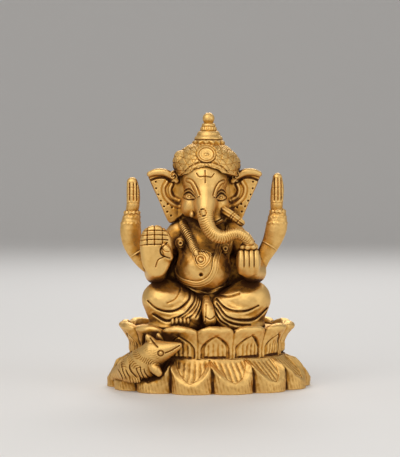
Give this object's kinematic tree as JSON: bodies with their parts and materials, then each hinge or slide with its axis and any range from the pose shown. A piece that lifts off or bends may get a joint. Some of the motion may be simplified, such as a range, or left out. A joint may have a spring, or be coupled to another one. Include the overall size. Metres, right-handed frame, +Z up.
{
  "type": "seated elephant-headed deity statue",
  "caption": "Small cast brass elephant-headed deity, seated cross-legged on a two-tier oval lotus base, with raised rear hands, a curled trunk and a mouse climbing the base.",
  "frame": {"origin": "middle of the base's flat underside, on the surface that the statue stands on", "axes": "+Z up, +X to a viewer's right as they face the statue, -Y out of the statue's front"},
  "size_m": [0.0868, 0.0618, 0.115],
  "materials": {
    "brass": "cast and hand-burnished brass, bright on the raised parts",
    "dark_brass": "cast brass with dark patina left in the recesses"
  },
  "bodies": {
    "root": {"lower_lotus": "dark_brass", "upper_lotus": "brass", "crown_knob": "brass", "crown_spire": "brass", "crown_medallion": "brass", "right_crown_rosette": "brass", "left_crown_rosette": "brass", "crown_dome": "brass", "trunk": "brass", "right_tusk": "brass", "left_tusk": "brass", "garland_pendant": "brass", "shoulder_garland": "brass", "sacred_thread": "brass", "right_chest_boss": "brass", "left_chest_boss": "brass", "waist_belt": "dark_brass", "sweet": "brass", "right_front_hand": "brass", "left_front_hand": "brass", "right_wrist_bangle": "brass", "left_wrist_bangle": "brass", "right_elbow_bangle": "brass", "left_elbow_bangle": "brass", "right_rear_hand": "brass", "left_rear_hand": "brass", "right_rear_arm": "brass", "left_rear_arm": "brass", "right_front_arm": "brass", "left_front_arm": "brass", "head": "brass", "right_ear": "brass", "left_ear": "brass", "dhoti_tail": "brass", "right_foot": "dark_brass", "torso": "brass", "right_leg": "brass", "left_leg": "brass", "mouse_tail": "dark_brass", "mouse": "dark_brass"}
  },
  "joints": []
}
